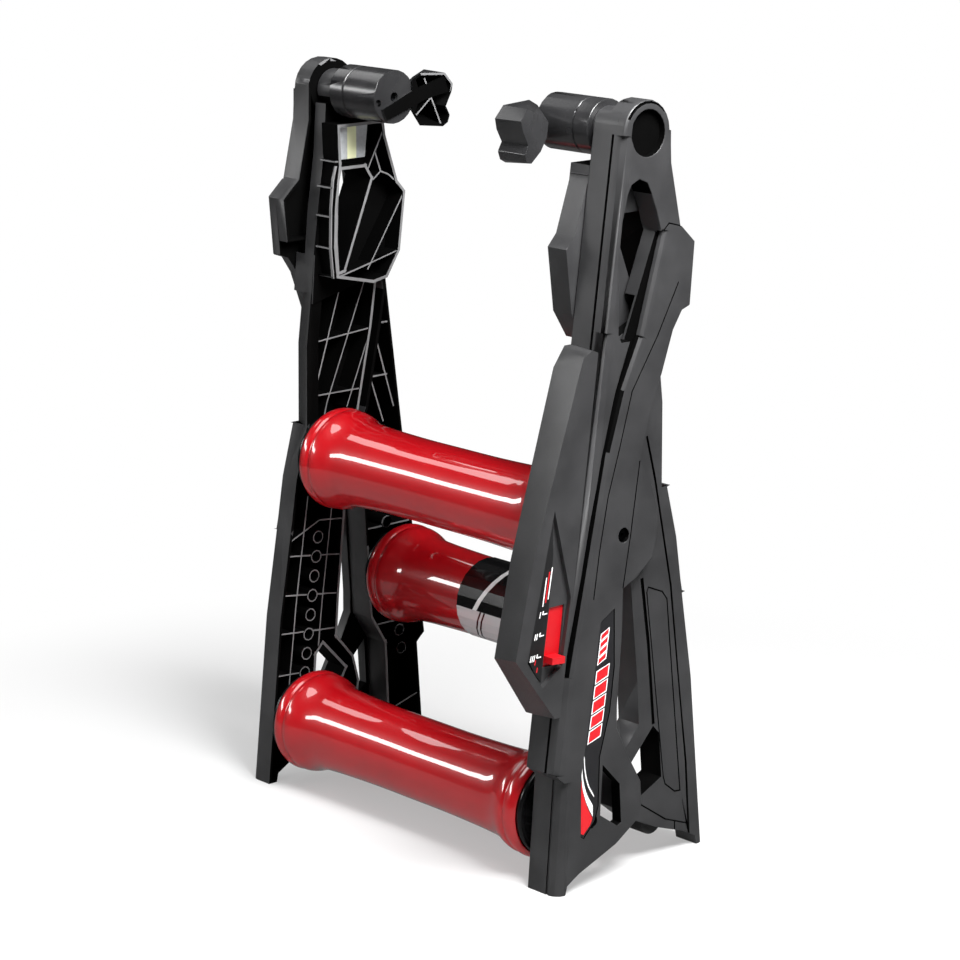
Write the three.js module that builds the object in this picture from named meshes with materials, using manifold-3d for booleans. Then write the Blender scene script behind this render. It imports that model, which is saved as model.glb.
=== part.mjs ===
// Folding training rollers for bicycles, folded up and stood on end.
// Millimetres. X runs along the drums, -Y is the front, and the floor is at Z = 0.
// The rear section has its feet at the front, and the front section has its feet at the rear.
// Each section has an outer frame on one side and an inner frame on the other,
// so the front section's frames are the rear section's frames turned half round.
import * as THREE from "three";
import { mergeVertices } from "three/addons/utils/BufferGeometryUtils.js";
import Module from "manifold-3d";

const wasm = await Module();
wasm.setup();

// Stance of the folded stand
const hingeHeight = 748;
const footReach = 112;
const hubRadius = 32;

// Places across the stand, as distances from its middle
const frameInner = 205;
const frameDepth = 43;
const frameOuter = frameInner + frameDepth;
const outerWebThickness = 12.5;
const outerWebInner = frameOuter - outerWebThickness;
const frameGap = 1.5;
const innerFrameOuter = outerWebInner - frameGap;
const hubDepth = 26;
const outerHubInner = frameOuter - hubDepth;
const hubGap = 2;
const innerHubOuter = outerHubInner - hubGap;
const neckSetBack = 1;
const neckOuter = frameInner - neckSetBack;
const neckDepth = 26;
const neckInner = neckOuter - neckDepth;

// Mouldings
const wall = 3.2;
const webThickness = 3.6;
const rib = 1.8;
const flange = 6;
const cutOverrun = 4;
const grooveDepth = 9;
const cornerRadius = 12;
const ridgeRadius = 7;
const innerCornerRadius = 8;
const roundingSteps = 3;
const joinOverlap = 1;
const seamWidth = 1.4;
const seamDepth = 1.2;
const ribDrop = 1.2;
const meshTolerance = 0.04;
const fineSides = 24;
const midSides = 16;
const capSides = 16;
const lowSides = 10;
const hiddenSides = 8;

// Drums
const drumClearance = 15;
const drumHalfLength = frameInner - drumClearance;
const drumFlareRadius = 55;
const drumWaistRadius = 43;
const drumWall = 2;
const axleRadius = 5;
const bearingOuterRadius = 14;
const bearingWidth = 9;
const bearingSeat = 4;
const bearingStop = 2;
const capHubRadius = 19;
const capWall = 3;
const capProud = 6;
const capRimRadius = 49.5;
const capSkirtRadius = 48.6;
const capDepth = 7;
const runningGap = 0.3;
const spacerRadius = 8;
const boltShankRadius = 3;
const boltShankLength = 15;
const socketDepth = 3;
const bandHalfLength = 50;
const bandThickness = 0.6;
const boltHeadRadius = 6;
const boltHeadHeight = 5;
const boltSinking = 3.2;
const boltRecessRadius = 7.2;
const socketRadius = 2.6;
const rowHoles = 8;
const rowBossRadius = 7.4;
const rowHoleRadius = 6;

// Hinge
const barrelRadius = 28;
const barrelClearance = 12;
const barrelLength = 72;
const barrelOuter = frameInner - barrelClearance;
const barrelInner = barrelOuter - barrelLength;
const barrelSeam = 50;
const innerHubRadius = 21.5;
const pinRadius = 8;
const pinHeadRadius = 15;
const pinHeadHeight = 3;
const pinEnd = 4;
const endHoleRadius = 5;
const hubHoleRadius = 22.6;
const hubHoleDepth = 16;
const hubCapThickness = 3;
const hubCapDepth = 7;
const hubGrooveOutside = 30.6;
const hubGrooveInside = 28.2;
const hubGrooveDepth = 3;
const hubRounding = 5;

// Gap between the front strip and the arm of an outer frame
const stripGapSetBack = 4.5;
const stripGapInner = outerWebInner - stripGapSetBack;
const stripGapWidth = 3;
const stripGapDepth = 4.5;

// Centre feet
const footLead = 3;
const centreFootWidth = 38;
const centreFootInner = barrelInner - footLead;
const centreFootOuter = centreFootInner + centreFootWidth;
const footWall = 2.2;
const armThickness = 2.6;

// Brake unit
const coverSetBack = 2;
const coverOuter = frameOuter - coverSetBack;
const coverWall = 3;
const recessDepth = 5;
const recessFloorThickness = 1.8;
const leverThickness = 4;
const leverTabReach = 6;
const leverTabEnd = coverOuter + leverTabReach;
const panelThickness = 1.6;
const discRadius = 49;
const discThickness = 2;
const discBore = 15;
const magnetRadius = 7;
const magnetThickness = 2;
const magnetGap = 1;
const magnetInset = 16;
const holderThickness = 2.8;
const holderFrontShare = -0.267857;
const holderRearShare = 0.232143;
const holderSeatShare = -0.0714286;
const springSetBack = 5;
const springWidth = 12;
const springInner = frameInner + springSetBack;
const springOuter = springInner + springWidth;

// Labels and the round rubber feet
const inlayGap = 0.8;
const inlayThickness = 1.2;
const inlayRecess = 2.2;
const labelSetBack = 12;
const labelBlockDepth = 8;
const skidRadius = 16;
const skidSetBack = 2;

// Inner frame's front strip and ladder
const stripChamfer = 12;
const stripSolid = 16;
const chamferStart = 3;
const lipDepth = 3;
const grooveWidth = 4;
const webGrooveDepth = 2.4;

// Outlines, as shares: across as a share of the foot's reach, and up as a share of the hinge's height.
// They are given for the rear section, whose feet are at the front.
const frontEdgeShares = [
  [-1, 0],
  [-0.92, 0.158],
  [-1.025, 0.171],
  [-0.505, 0.75],
];
const outerRearShares = [
  [0.285, 0.958],
  [0.41, 0.876],
  [0.6, 0.85],
  [0.553, 0.767],
  [0.455, 0.762],
  [0.348, 0.738],
  [0.214, 0.682],
  [0.08, 0.638],
  [-0.045, 0.573],
  [0.125, 0.532],
  [0.188, 0.505],
  [0.188, 0.468],
  [0.134, 0.436],
  [-0.045, 0.416],
  [-0.232, 0.404],
  [-0.24, 0.325],
  [-0.28, 0.246],
  [-0.28, 0.214],
  [-0.15, 0.174],
  [0.03, 0.128],
  [0.045, 0.1],
  [0.01, 0.077],
  [-0.3, 0.048],
  [-0.72, 0.025],
  [-0.88, 0.013],
  [-0.9, 0],
];
const outerSlotShares = [
  [-0.098, 0.942],
  [-0.187, 0.936],
  [-0.241, 0.924],
  [-0.295, 0.889],
  [-0.321, 0.856],
  [-0.33, 0.817],
  [-0.321, 0.743],
  [-0.286, 0.734],
  [-0.18, 0.734],
  [0.187, 0.869],
  [0.152, 0.881],
  [0.116, 0.9],
  [0.054, 0.921],
  [0, 0.936],
];
const lowerWindowShares = [
  [-0.455, 0.168],
  [-0.24, 0.134],
  [-0.215, 0.078],
  [-0.26, 0.075],
  [-0.48, 0.098],
];
const grooveShares = [
  [-0.18, 0.734],
  [-0.35, 0.671],
  [-0.518, 0.586],
  [-0.643, 0.503],
  [-0.76, 0.413],
  [-0.9, 0.3],
  [-0.86, 0.3],
  [-0.7, 0.413],
  [-0.57, 0.503],
  [-0.44, 0.592],
  [-0.27, 0.671],
  [-0.05, 0.738],
  [0.22, 0.872],
  [0.187, 0.869],
];
const ridgeShares = [
  [-0.86, 0.3],
  [-0.7, 0.413],
  [-0.57, 0.503],
  [-0.44, 0.592],
  [-0.27, 0.671],
  [-0.05, 0.738],
  [0.22, 0.872],
];
const outerSeamShares = [
  [
    [0.4, 0.8],
    [0.15, 0.734],
    [-0.152, 0.667],
    [-0.295, 0.595],
    [-0.429, 0.533],
    [-0.527, 0.461],
    [-0.59, 0.4],
  ],
  [
    [-0.045, 0.571],
    [-0.143, 0.477],
    [-0.232, 0.404],
  ],
  [
    [0.187, 0.869],
    [0.27, 0.88],
    [0.42, 0.874],
  ],
];
const deepLegRearShares = [
  [-0.5, 0.705],
  [-0.44, 0.655],
  [-0.36, 0.6],
  [-0.27, 0.535],
  [-0.15, 0.492],
  [-0.15, 0.441],
  [-0.24, 0.397],
  [-0.27, 0.325],
  [-0.31, 0.214],
  [-0.49, 0.17],
  [-0.51, 0.098],
  [-0.53, 0.042],
  [-0.88, 0.013],
  [-0.9, 0],
];
const stripeRecessShares = [
  [-0.33, 0.38],
  [-0.5, 0.366],
  [-0.635, 0.23],
  [-0.725, 0.155],
  [-0.72, 0.076],
  [-0.68, 0.072],
  [-0.54, 0.092],
  [-0.5, 0.112],
  [-0.49, 0.18],
  [-0.37, 0.24],
  [-0.32, 0.3],
];
const innerFrontShares = [
  [-1, 0],
  [-0.895, 0.159],
  [-0.83, 0.245],
  [-0.69, 0.37],
  [-0.607, 0.448],
  [-0.473, 0.523],
  [-0.464, 0.639],
  [-0.402, 0.715],
  [-0.366, 0.77],
];
const innerRearShares = [
  [0.42, 0.725],
  [0.35, 0.655],
  [0.27, 0.598],
  [0.18, 0.536],
  [0, 0.392],
  [-0.09, 0.262],
  [-0.12, 0.2],
  [0.09, 0.163],
  [0.16, 0.123],
  [0.125, 0.088],
  [-0.05, 0.067],
  [-0.36, 0.045],
  [-0.75, 0.024],
  [-0.88, 0.013],
  [-0.9, 0],
];
const innerTopStripShares = [
  [-0.366, 0.77],
  [-0.33, 0.828],
  [-0.25, 0.909],
  [-0.214, 0.983],
  [0.17, 0.985],
  [0.17, 0.88],
  [0.17, 0.72],
  [-0.4, 0.7],
];
const neckShares = [
  [-0.26, 0.957],
  [-0.245, 0.9],
  [-0.3, 0.84],
  [-0.315, 0.783],
  [-0.285, 0.74],
  [0.17, 0.725],
  [0.35, 0.73],
  [0.509, 0.767],
  [0.58, 0.852],
  [0.482, 0.868],
  [0.33, 0.935],
  [0.31, 0.957],
];
const lipShares = [
  [-0.277, 0.898],
  [-0.3125, 0.88],
  [-0.339, 0.84],
  [-0.348, 0.783],
  [-0.321, 0.741],
];
const rungShares = [
  [[-0.29, 0.905], [-0.23, 0.905]],
  [[-0.335, 0.869], [-0.27, 0.869]],
  [[-0.35, 0.828], [-0.3, 0.828]],
  [[-0.355, 0.783], [-0.305, 0.783]],
  [[-0.33, 0.742], [-0.27, 0.742]],
];
const neckRibShares = [
  [[0.32, 0.945], [0.205, 0.913]],
  [[0.205, 0.913], [0.116, 0.888]],
  [[0.205, 0.913], [0.277, 0.884]],
  [[0.179, 0.873], [0.277, 0.884]],
  [[0.277, 0.884], [0.375, 0.878]],
  [[0.375, 0.878], [0.482, 0.865]],
  [[0.571, 0.85], [0.107, 0.745]],
  [[-0.25, 0.741], [0.107, 0.753]],
  [[0.107, 0.753], [0.5, 0.767]],
];
const innerSlotShares = [
  [-0.215, 0.893],
  [0.07, 0.893],
  [0.143, 0.876],
  [-0.196, 0.751],
  [-0.25, 0.749],
  [-0.27, 0.789],
  [-0.262, 0.84],
  [-0.24, 0.876],
];
const innerWindowShares = [
  [-0.304, 0.192],
  [-0.384, 0.179],
  [-0.42, 0.115],
  [-0.134, 0.096],
  [-0.107, 0.127],
  [-0.027, 0.148],
];
const panelSeamShares = [
  [-0.214, 0.389],
  [-0.393, 0.378],
  [-0.455, 0.366],
  [-0.67, 0.087],
  [-0.598, 0.088],
  [-0.473, 0.103],
  [-0.446, 0.115],
  [-0.196, 0.382],
];
const panelGrooveShares = [
  [-0.134, 0.401],
  [-0.223, 0.314],
  [-0.304, 0.197],
];
const edgeGrooveShares = [
  [-0.17, 0.595],
  [-0.277, 0.537],
  [-0.375, 0.469],
  [-0.5, 0.384],
  [-0.625, 0.243],
  [-0.741, 0.123],
  [-0.804, 0.008],
];
const skirtSeamShares = [
  [
    [-0.125, 0.088],
    [-0.482, 0.052],
    [-0.768, 0.036],
  ],
  [
    [-0.607, 0.045],
    [-0.607, 0.018],
  ],
];
const labelShares = [
  [-0.2, 0.95],
  [-0.19, 0.905],
  [0.15, 0.905],
  [0.185, 0.95],
];
const labelBlockShares = [
  [-0.215, 0.957],
  [-0.205, 0.893],
  [0.185, 0.887],
  [0.215, 0.957],
];
const coverShares = [
  [-0.53, 0.728],
  [-0.6, 0.728],
  [-0.73, 0.702],
  [-1.22, 0.46],
  [-1.41, 0.332],
  [-1.03, 0.246],
  [-0.965, 0.246],
];
const coverFaceShares = [
  [-0.55, 0.726],
  [-0.62, 0.73],
  [-0.73, 0.721],
  [-1.295, 0.472],
  [-1.5, 0.342],
  [-1.03, 0.25],
  [-0.965, 0.25],
];
const coverRecessShares = [
  [-1.05, 0.53],
  [-1.15, 0.47],
  [-1.36, 0.335],
  [-1.18, 0.297],
  [-0.95, 0.32],
  [-0.85, 0.41],
];
const markPanelShares = [
  [-1.045, 0.515],
  [-1.13, 0.465],
  [-1.335, 0.34],
  [-1.235, 0.314],
  [-1.175, 0.304],
  [-1.158, 0.325],
  [-1.085, 0.402],
  [-1.04, 0.47],
];
const leverOpeningShares = [
  [-1.14, 0.322],
  [-1.065, 0.4],
  [-0.885, 0.4],
  [-0.945, 0.322],
];
const leverShares = [
  [-1.15, 0.318],
  [-1.075, 0.402],
  [-0.875, 0.402],
  [-0.935, 0.318],
];
const leverTabShares = [
  [-1.12, 0.328],
  [-1.115, 0.337],
  [-0.963, 0.335],
  [-0.968, 0.326],
];
const springShares = [
  [-1.344, 0.346],
  [-1.128, 0.369],
  [-1.255, 0.409],
  [-1.265, 0.409],
  [-1.14, 0.369],
  [-1.354, 0.346],
];
const innerRibShares = [
  [[0, 0.735], [-0.402, 0.552]],
  [[0.339, 0.746], [-0.214, 0.551]],
  [[0.348, 0.65], [0.036, 0.54]],
  [[-0.41, 0.715], [-0.05, 0.733]],
  [[-0.464, 0.642], [0.348, 0.651]],
  [[-0.473, 0.565], [0.25, 0.564]],
  [[-0.402, 0.552], [-0.56, 0.47]],
  [[-0.214, 0.551], [-0.42, 0.44]],
  [[-0.68, 0.357], [-0.32, 0.38]],
  [[-0.32, 0.38], [0, 0.375]],
  [[-0.46, 0.42], [-0.616, 0.27]],
  [[-0.616, 0.27], [-0.8, 0.05]],
  [[-0.14, 0.42], [-0.295, 0.26]],
  [[-0.295, 0.26], [-0.36, 0.18]],
  [[-0.74, 0.336], [0, 0.321]],
  [[-0.81, 0.279], [0, 0.262]],
  [[-0.86, 0.222], [0, 0.21]],
  [[-0.92, 0.16], [-0.42, 0.155]],
  [[-0.95, 0.1], [-0.42, 0.1]],
];
const outerRibShares = [
  [[-1, 0.08], [-0.5, 0.06]],
  [[-0.94, 0.2], [-0.3, 0.2]],
  [[-0.93, 0.25], [-0.28, 0.25]],
  [[-0.88, 0.3], [-0.26, 0.3]],
  [[-0.83, 0.35], [-0.25, 0.35]],
  [[-0.8, 0.41], [-0.2, 0.41]],
  [[-0.76, 0.47], [-0.15, 0.47]],
  [[-0.554, 0.578], [-0.268, 0.578]],
  [[-0.62, 0.656], [-0.366, 0.656]],
  [[-0.366, 0.656], [-0.634, 0.528]],
  [[-0.268, 0.606], [-0.5, 0.508]],
];
const footInnerEndShares = [
  [0.2, 1.022],
  [0.3, 1.03],
  [0.607, 1.027],
  [0.705, 1.011],
  [0.687, 0.997],
  [0.625, 0.98],
  [0.67, 0.968],
  [0.643, 0.957],
  [0.58, 0.952],
  [0.29, 0.957],
  [0.2, 0.975],
];
const footOuterEndShares = [
  [0.39, 1.007],
  [0.5, 1.018],
  [0.643, 1.027],
  [0.714, 1.012],
  [0.687, 0.997],
  [0.625, 0.98],
  [0.67, 0.968],
  [0.643, 0.957],
  [0.59, 0.956],
  [0.48, 0.97],
  [0.41, 0.987],
];
const armShares = [
  [0.598, 1.022],
  [0.223, 1.008],
  [-0.16, 0.985],
  [-0.116, 0.969],
  [0.402, 0.994],
  [0.655, 1],
];
const centreFootRibShares = [
  [[0.22, 0.968], [0.64, 1.018]],
  [[0.357, 1.022], [0.56, 0.956]],
];
const smallHoleShare = [-0.196, 0.9933];

// Drum surfaces, as shares: along the half length, and out from the waist to the flare
const drumShares = [
  [0, 0],
  [0.28, 0],
  [0.71, 0.25],
  [0.78, 0.458],
  [0.85, 0.8],
  [0.94, 1],
  [0.985, 0.86],
  [1, 0.667],
];
const drumInsideShares = [
  [1, 0.5],
  [0.94, 0.75],
  [0.71, 0.083],
];

// Places of the axles and of the two ends of the rows of mounting holes, as shares
const upperAxleShares = [[-0.228, 0.4762]];
const lowerAxleShares = [[-0.58, 0.0929]];
const frontAxleShares = [[-0.598, 0.2821]];
const rearRowShares = [
  [-0.348, 0.3556],
  [-0.535, 0.1554],
];
const frontRowShares = [
  [-0.527, 0.3556],
  [-0.714, 0.1554],
];
const skidShares = [[-0.339, 0.056]];
const magnetShares = [0.3437, 0.387];
const holderShares = [0.337, 0.398];

const springSeatShares = [
  [-1.6, 0.34],
  [-1.6, 0.352],
  [-1.357, 0.352],
  [-1.357, 0.34],
];

// Colours and finishes
const finish = (color, roughness, metalness) => new THREE.MeshStandardMaterial({ color, roughness, metalness });
const satinBlack = finish(0x3c3d3f, 0.5, 0);
const glossBlack = finish(0x141415, 0.25, 0);
const glossRed = finish(0xb4000f, 0.16, 0);
const leverRed = finish(0xc01018, 0.35, 0);
const steel = finish(0xb8babd, 0.3, 1);
const aluminium = finish(0xc9ccd0, 0.35, 1);
const panelBlack = finish(0x1b1b1c, 0.45, 0);
const labelGrey = finish(0xb9bca8, 0.5, 0);
const stripeRed = finish(0xc8202a, 0.4, 0);
const rubberBlack = finish(0x1a1a1a, 0.85, 0);

// Shapes

// An outline of shares as points, each [across, up] in millimetres.
const placed = (shares) => shares.map(([across, up]) => [across * footReach, up * hingeHeight]);

// Points on an arc, in degrees, round a centre.
function arc([across, up], radius, from, to, steps) {
  const points = [];
  for (let i = 0; i <= steps; i += 1) {
    const angle = THREE.MathUtils.degToRad(from + ((to - from) * i) / steps);
    points.push([across + radius * Math.cos(angle), up + radius * Math.sin(angle)]);
  }
  return points;
}

// A closed geometry as a solid that can be joined and cut.
function solid(geometry) {
  const bare = geometry.index ? geometry.toNonIndexed() : geometry.clone();
  bare.deleteAttribute("normal");
  bare.deleteAttribute("uv");
  const merged = mergeVertices(bare, 1e-4);
  return new wasm.Manifold(
    new wasm.Mesh({
      numProp: 3,
      vertProperties: new Float32Array(merged.attributes.position.array),
      triVerts: new Uint32Array(merged.index.array),
    }),
  );
}

// Turns a shape drawn across and up, and extruded towards the viewer, so that it is extruded along X.
const alongX = new THREE.Matrix4().set(0, 0, 1, 0, 1, 0, 0, 0, 0, 1, 0, 0, 0, 0, 0, 1);

// An outline as vectors that run clockwise or the other way round.
function ordered(outline, clockwise) {
  const points = outline.map(([across, up]) => new THREE.Vector2(across, up));
  return THREE.ShapeUtils.isClockWise(points) === clockwise ? points : points.reverse();
}

// A plate with the given outline and holes, from one X to another.
function plate(outline, fromX, toX, holes = []) {
  const shape = new THREE.Shape(ordered(outline, false));
  for (const hole of holes) {
    shape.holes.push(new THREE.Path(ordered(hole, true)));
  }
  const low = Math.min(fromX, toX);
  const geometry = new THREE.ExtrudeGeometry(shape, { depth: Math.abs(toX - fromX), bevelEnabled: false });
  geometry.translate(0, 0, low);
  geometry.applyMatrix4(alongX);
  return solid(geometry);
}

// A solid between two outlines with as many points, each standing at its own X.
function loft(lowOutline, lowX, highOutline, highX) {
  const low = ordered(lowOutline, false);
  const high = ordered(highOutline, false);
  const count = low.length;
  const positions = [];
  low.forEach((point) => positions.push(lowX, point.x, point.y));
  high.forEach((point) => positions.push(highX, point.x, point.y));
  const faces = [];
  THREE.ShapeUtils.triangulateShape(low, []).forEach(([a, b, c]) => faces.push(a, c, b));
  THREE.ShapeUtils.triangulateShape(high, []).forEach(([a, b, c]) => faces.push(a + count, b + count, c + count));
  for (let i = 0; i < count; i += 1) {
    const next = (i + 1) % count;
    faces.push(i, next, next + count, i, next + count, i + count);
  }
  const geometry = new THREE.BufferGeometry();
  geometry.setAttribute("position", new THREE.BufferAttribute(new Float32Array(positions), 3));
  geometry.setIndex(faces);
  return solid(geometry);
}

// A round bar along X.
function bar([across, up], radius, fromX, toX, sides = 24) {
  const geometry = new THREE.CylinderGeometry(radius, radius, Math.abs(toX - fromX), sides);
  geometry.rotateZ(Math.PI / 2);
  geometry.translate((fromX + toX) / 2, across, up);
  return solid(geometry);
}

// A turned piece about an axis along X: the profile is a closed list of [x, radius].
function turned([across, up], profile, sides = 32) {
  const points = [...profile, profile[0]].map(([x, radius]) => new THREE.Vector2(radius, -x));
  const geometry = new THREE.LatheGeometry(points, sides);
  geometry.rotateZ(Math.PI / 2);
  geometry.translate(0, across, up);
  const made = solid(geometry);
  if (made.volume() > 0) {
    return made;
  }
  const back = [...profile].reverse();
  return turned([across, up], back, sides);
}

// An outline moved inwards by a distance, corner by corner.
function inset(outline, distance) {
  const turn = THREE.ShapeUtils.isClockWise(outline.map(([x, y]) => new THREE.Vector2(x, y))) ? 1 : -1;
  return outline.map((point, i) => {
    const before = outline[(i + outline.length - 1) % outline.length];
    const after = outline[(i + 1) % outline.length];
    const into = new THREE.Vector2(point[0] - before[0], point[1] - before[1]).normalize();
    const out = new THREE.Vector2(after[0] - point[0], after[1] - point[1]).normalize();
    const normalIn = new THREE.Vector2(into.y, -into.x).multiplyScalar(turn);
    const normalOut = new THREE.Vector2(out.y, -out.x).multiplyScalar(turn);
    const middle = normalIn.clone().add(normalOut).normalize();
    const reach = distance / Math.max(middle.dot(normalIn), 0.5);
    return [point[0] + middle.x * reach, point[1] + middle.y * reach];
  });
}

// A straight bar of the given width between two points, as long again at each end as it is told.
function stripBetween([from, to], width, extra, fromX, toX) {
  const along = new THREE.Vector2(to[0] - from[0], to[1] - from[1]).normalize();
  const side = [(-along.y * width) / 2, (along.x * width) / 2];
  const start = [from[0] - along.x * extra, from[1] - along.y * extra];
  const end = [to[0] + along.x * extra, to[1] + along.y * extra];
  const outline = [
    [start[0] + side[0], start[1] + side[1]],
    [end[0] + side[0], end[1] + side[1]],
    [end[0] - side[0], end[1] - side[1]],
    [start[0] - side[0], start[1] - side[1]],
  ];
  return plate(outline, fromX, toX);
}

// A thin straight rib between two points.
const ribBetween = (ends, fromX, toX) => stripBetween(ends, rib, 0, fromX, toX);

// A run of one section between two points of a side view. The section is a list of [aside, x],
// and aside is measured to the left of the way from the first point to the second.
function swept(section, [from, to], extra) {
  const way = new THREE.Vector2(to[0] - from[0], to[1] - from[1]);
  const depth = way.length() + 2 * extra;
  way.normalize();
  const shape = new THREE.Shape(ordered(section, false));
  const geometry = new THREE.ExtrudeGeometry(shape, { depth, bevelEnabled: false });
  const place = new THREE.Matrix4().makeBasis(
    new THREE.Vector3(0, -way.y, way.x),
    new THREE.Vector3(1, 0, 0),
    new THREE.Vector3(0, way.x, way.y),
  );
  place.setPosition(0, from[0] - way.x * extra, from[1] - way.y * extra);
  geometry.applyMatrix4(place);
  return solid(geometry);
}

// What rounds an edge off when it is cut away: the edge runs along a list of points, with open air to
// their left, and the face that it ends stands at the given X and looks along the given side of X.
function rounding(points, radius, face, side) {
  const inside = face - side * radius;
  const section = [[cutOverrun, inside]];
  for (let i = 0; i <= roundingSteps; i += 1) {
    const angle = (i / roundingSteps) * (Math.PI / 2);
    section.push([radius * (Math.cos(angle) - 1), inside + side * radius * Math.sin(angle)]);
  }
  section.push([-radius, face + side * cutOverrun], [cutOverrun, face + side * cutOverrun]);
  return points.slice(1).map((point, i) => swept(section, [points[i], point], 0));
}

// Thin lines engraved in a face, along a list of points.
function engraved(points, width, depth, face, side) {
  const runs = points.slice(1).map((point, i) => [points[i], point]);
  const end = width / 2;
  return joined(runs.map((run) => stripBetween(run, width, end, face - side * depth, face + side * cutOverrun)));
}

// Walls along every edge of an outline, standing on both sides of it.
function edgeWalls(outline, fromX, toX) {
  const edges = outline.map((point, i) => [point, outline[(i + 1) % outline.length]]);
  return joined(edges.map((edge) => stripBetween(edge, 2 * wall, wall, fromX, toX)));
}

// A wall that follows an outline on its inner side, from one X to another.
const rim = (outline, fromX, toX) => edgeWalls(outline, fromX, toX).intersect(plate(outline, fromX, toX));

// Joins a list of solids.
const joined = (solids) => solids.reduce((all, next) => all.add(next));

// Cuts a list of solids away.
const cutAway = (body, cuts) => cuts.reduce((left, cut) => left.subtract(cut), body);

// The whole part
const rollers = new THREE.Group();

// Adds a solid as a named mesh.
function add(name, body, material, group) {
  const mesh = body.simplify(meshTolerance).getMesh();
  const geometry = new THREE.BufferGeometry();
  geometry.setAttribute("position", new THREE.BufferAttribute(new Float32Array(mesh.vertProperties), 3));
  geometry.setIndex(new THREE.BufferAttribute(new Uint32Array(mesh.triVerts), 1));
  const made = new THREE.Mesh(geometry, material);
  made.name = name;
  group.add(made);
  return made;
}

const rearSection = new THREE.Group();
rollers.add(rearSection);
const turnedSection = new THREE.Group();
turnedSection.rotation.z = Math.PI;
rollers.add(turnedSection);

const hinge = [0, hingeHeight];

// The mounting row's holes, from the top down, between the places of its two ends.
function rowPoints([top, end]) {
  const points = [];
  for (let i = 0; i < rowHoles; i += 1) {
    const share = i / (rowHoles - 1);
    points.push([top[0] + (end[0] - top[0]) * share, top[1] + (end[1] - top[1]) * share]);
  }
  return points;
}

// Outer frame: drawn for the right side of the rear section.
// axles: places of the drum bolts, row: the two ends of the row of mounting holes.
function outerFrame(axles, row) {
  const frontEdge = placed(frontEdgeShares);
  const [foot, stepLow, stepHigh, top] = frontEdge;
  const hubArc = arc(hinge, hubRadius, 165, 10, 10);
  const outline = [...frontEdge, ...hubArc, ...placed(outerRearShares)];
  const deepRear = placed(deepLegRearShares);
  const deepLeg = [...frontEdge, ...deepRear];
  const upper = [
    ...placed([frontEdgeShares[3]]),
    ...hubArc,
    ...placed(outerRearShares.slice(0, 3)),
    ...placed([[0.56, 0.788], [-0.46, 0.788]]),
  ];
  const slot = placed(outerSlotShares);
  const window = placed(lowerWindowShares);
  const insideTop = outerWebInner + joinOverlap;
  const topFlange = [
    top,
    ...arc(hinge, hubRadius, 165, 140, 2),
    ...arc(hinge, hubRadius - flange, 140, 165, 2),
    [top[0] + flange, top[1]],
    deepRear[0],
  ];
  const ribs = outerRibShares.map((ends) => ribBetween(placed(ends), frameInner + ribDrop, insideTop));
  const bosses = [...rowPoints(row), ...axles].map((at) => bar(at, rowBossRadius, frameInner, insideTop, hiddenSides));
  const leg = joined([rim(deepLeg, frameInner, insideTop), ...ribs, ...bosses]);
  const legOnly = leg.intersect(plate(deepLeg, frameInner - cutOverrun, frameOuter));
  const body = joined([
    plate(outline, outerWebInner, frameOuter, [slot, window]),
    legOnly,
    rim(upper, outerHubInner, insideTop),
    bar(hinge, hubRadius - wall, outerHubInner, insideTop, fineSides),
    plate(topFlange, frameInner, insideTop),
    edgeWalls(slot, outerHubInner, insideTop).intersect(plate(upper, outerHubInner, frameOuter)),
  ]);
  const hubFront = [-hubRadius, hingeHeight];
  const stripGap = [
    [-stripGapDepth, stripGapInner],
    [cutOverrun, stripGapInner],
    [cutOverrun, stripGapInner + stripGapWidth],
    [-stripGapDepth, stripGapInner + stripGapWidth],
  ];
  const legGap = stripGap.map(([aside, x]) => [Math.max(aside, -seamDepth), x]);
  const hubGroove = [
    ...arc(hinge, hubGrooveOutside, 150, 40, 8),
    ...arc(hinge, hubGrooveInside, 40, 150, 8),
  ];
  const ridge = placed(ridgeShares);
  const cuts = [
    plate(slot, frameInner - cutOverrun, frameOuter + cutOverrun),
    bar(hinge, hubHoleRadius, frameOuter - hubHoleDepth, frameOuter + cutOverrun, fineSides),
    bar(hinge, pinRadius + runningGap, frameInner, frameOuter, midSides),
    plate(placed(grooveShares), frameOuter - grooveDepth, frameOuter + cutOverrun),
    plate(placed(stripeRecessShares), frameOuter - inlayRecess, frameOuter + cutOverrun),
    plate(hubGroove, frameOuter - hubGrooveDepth, frameOuter + cutOverrun),
    hubEdge(),
    swept(stripGap, [top, hubFront], 0),
    swept(legGap, [foot, stepLow], 0),
    swept(legGap, [stepHigh, top], 0),
    ...rounding([foot, stepLow], cornerRadius, frameOuter, 1),
    ...rounding([stepHigh, top, hubFront], cornerRadius, frameOuter, 1),
    ...rounding(ridge, ridgeRadius, frameOuter, 1),
    ...outerSeamShares.map((line) => engraved(placed(line), seamWidth, seamDepth, frameOuter, 1)),
  ];
  for (const at of rowPoints(row)) {
    cuts.push(bar(at, rowHoleRadius, frameInner - cutOverrun, outerWebInner, hiddenSides));
  }
  for (const at of axles) {
    cuts.push(bar(at, axleRadius + runningGap, frameInner - cutOverrun, outerBolt + joinOverlap, midSides));
    cuts.push(bar(at, boltRecessRadius, outerBolt - runningGap, frameOuter + joinOverlap, midSides));
  }
  return cutAway(body, cuts);
}

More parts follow.
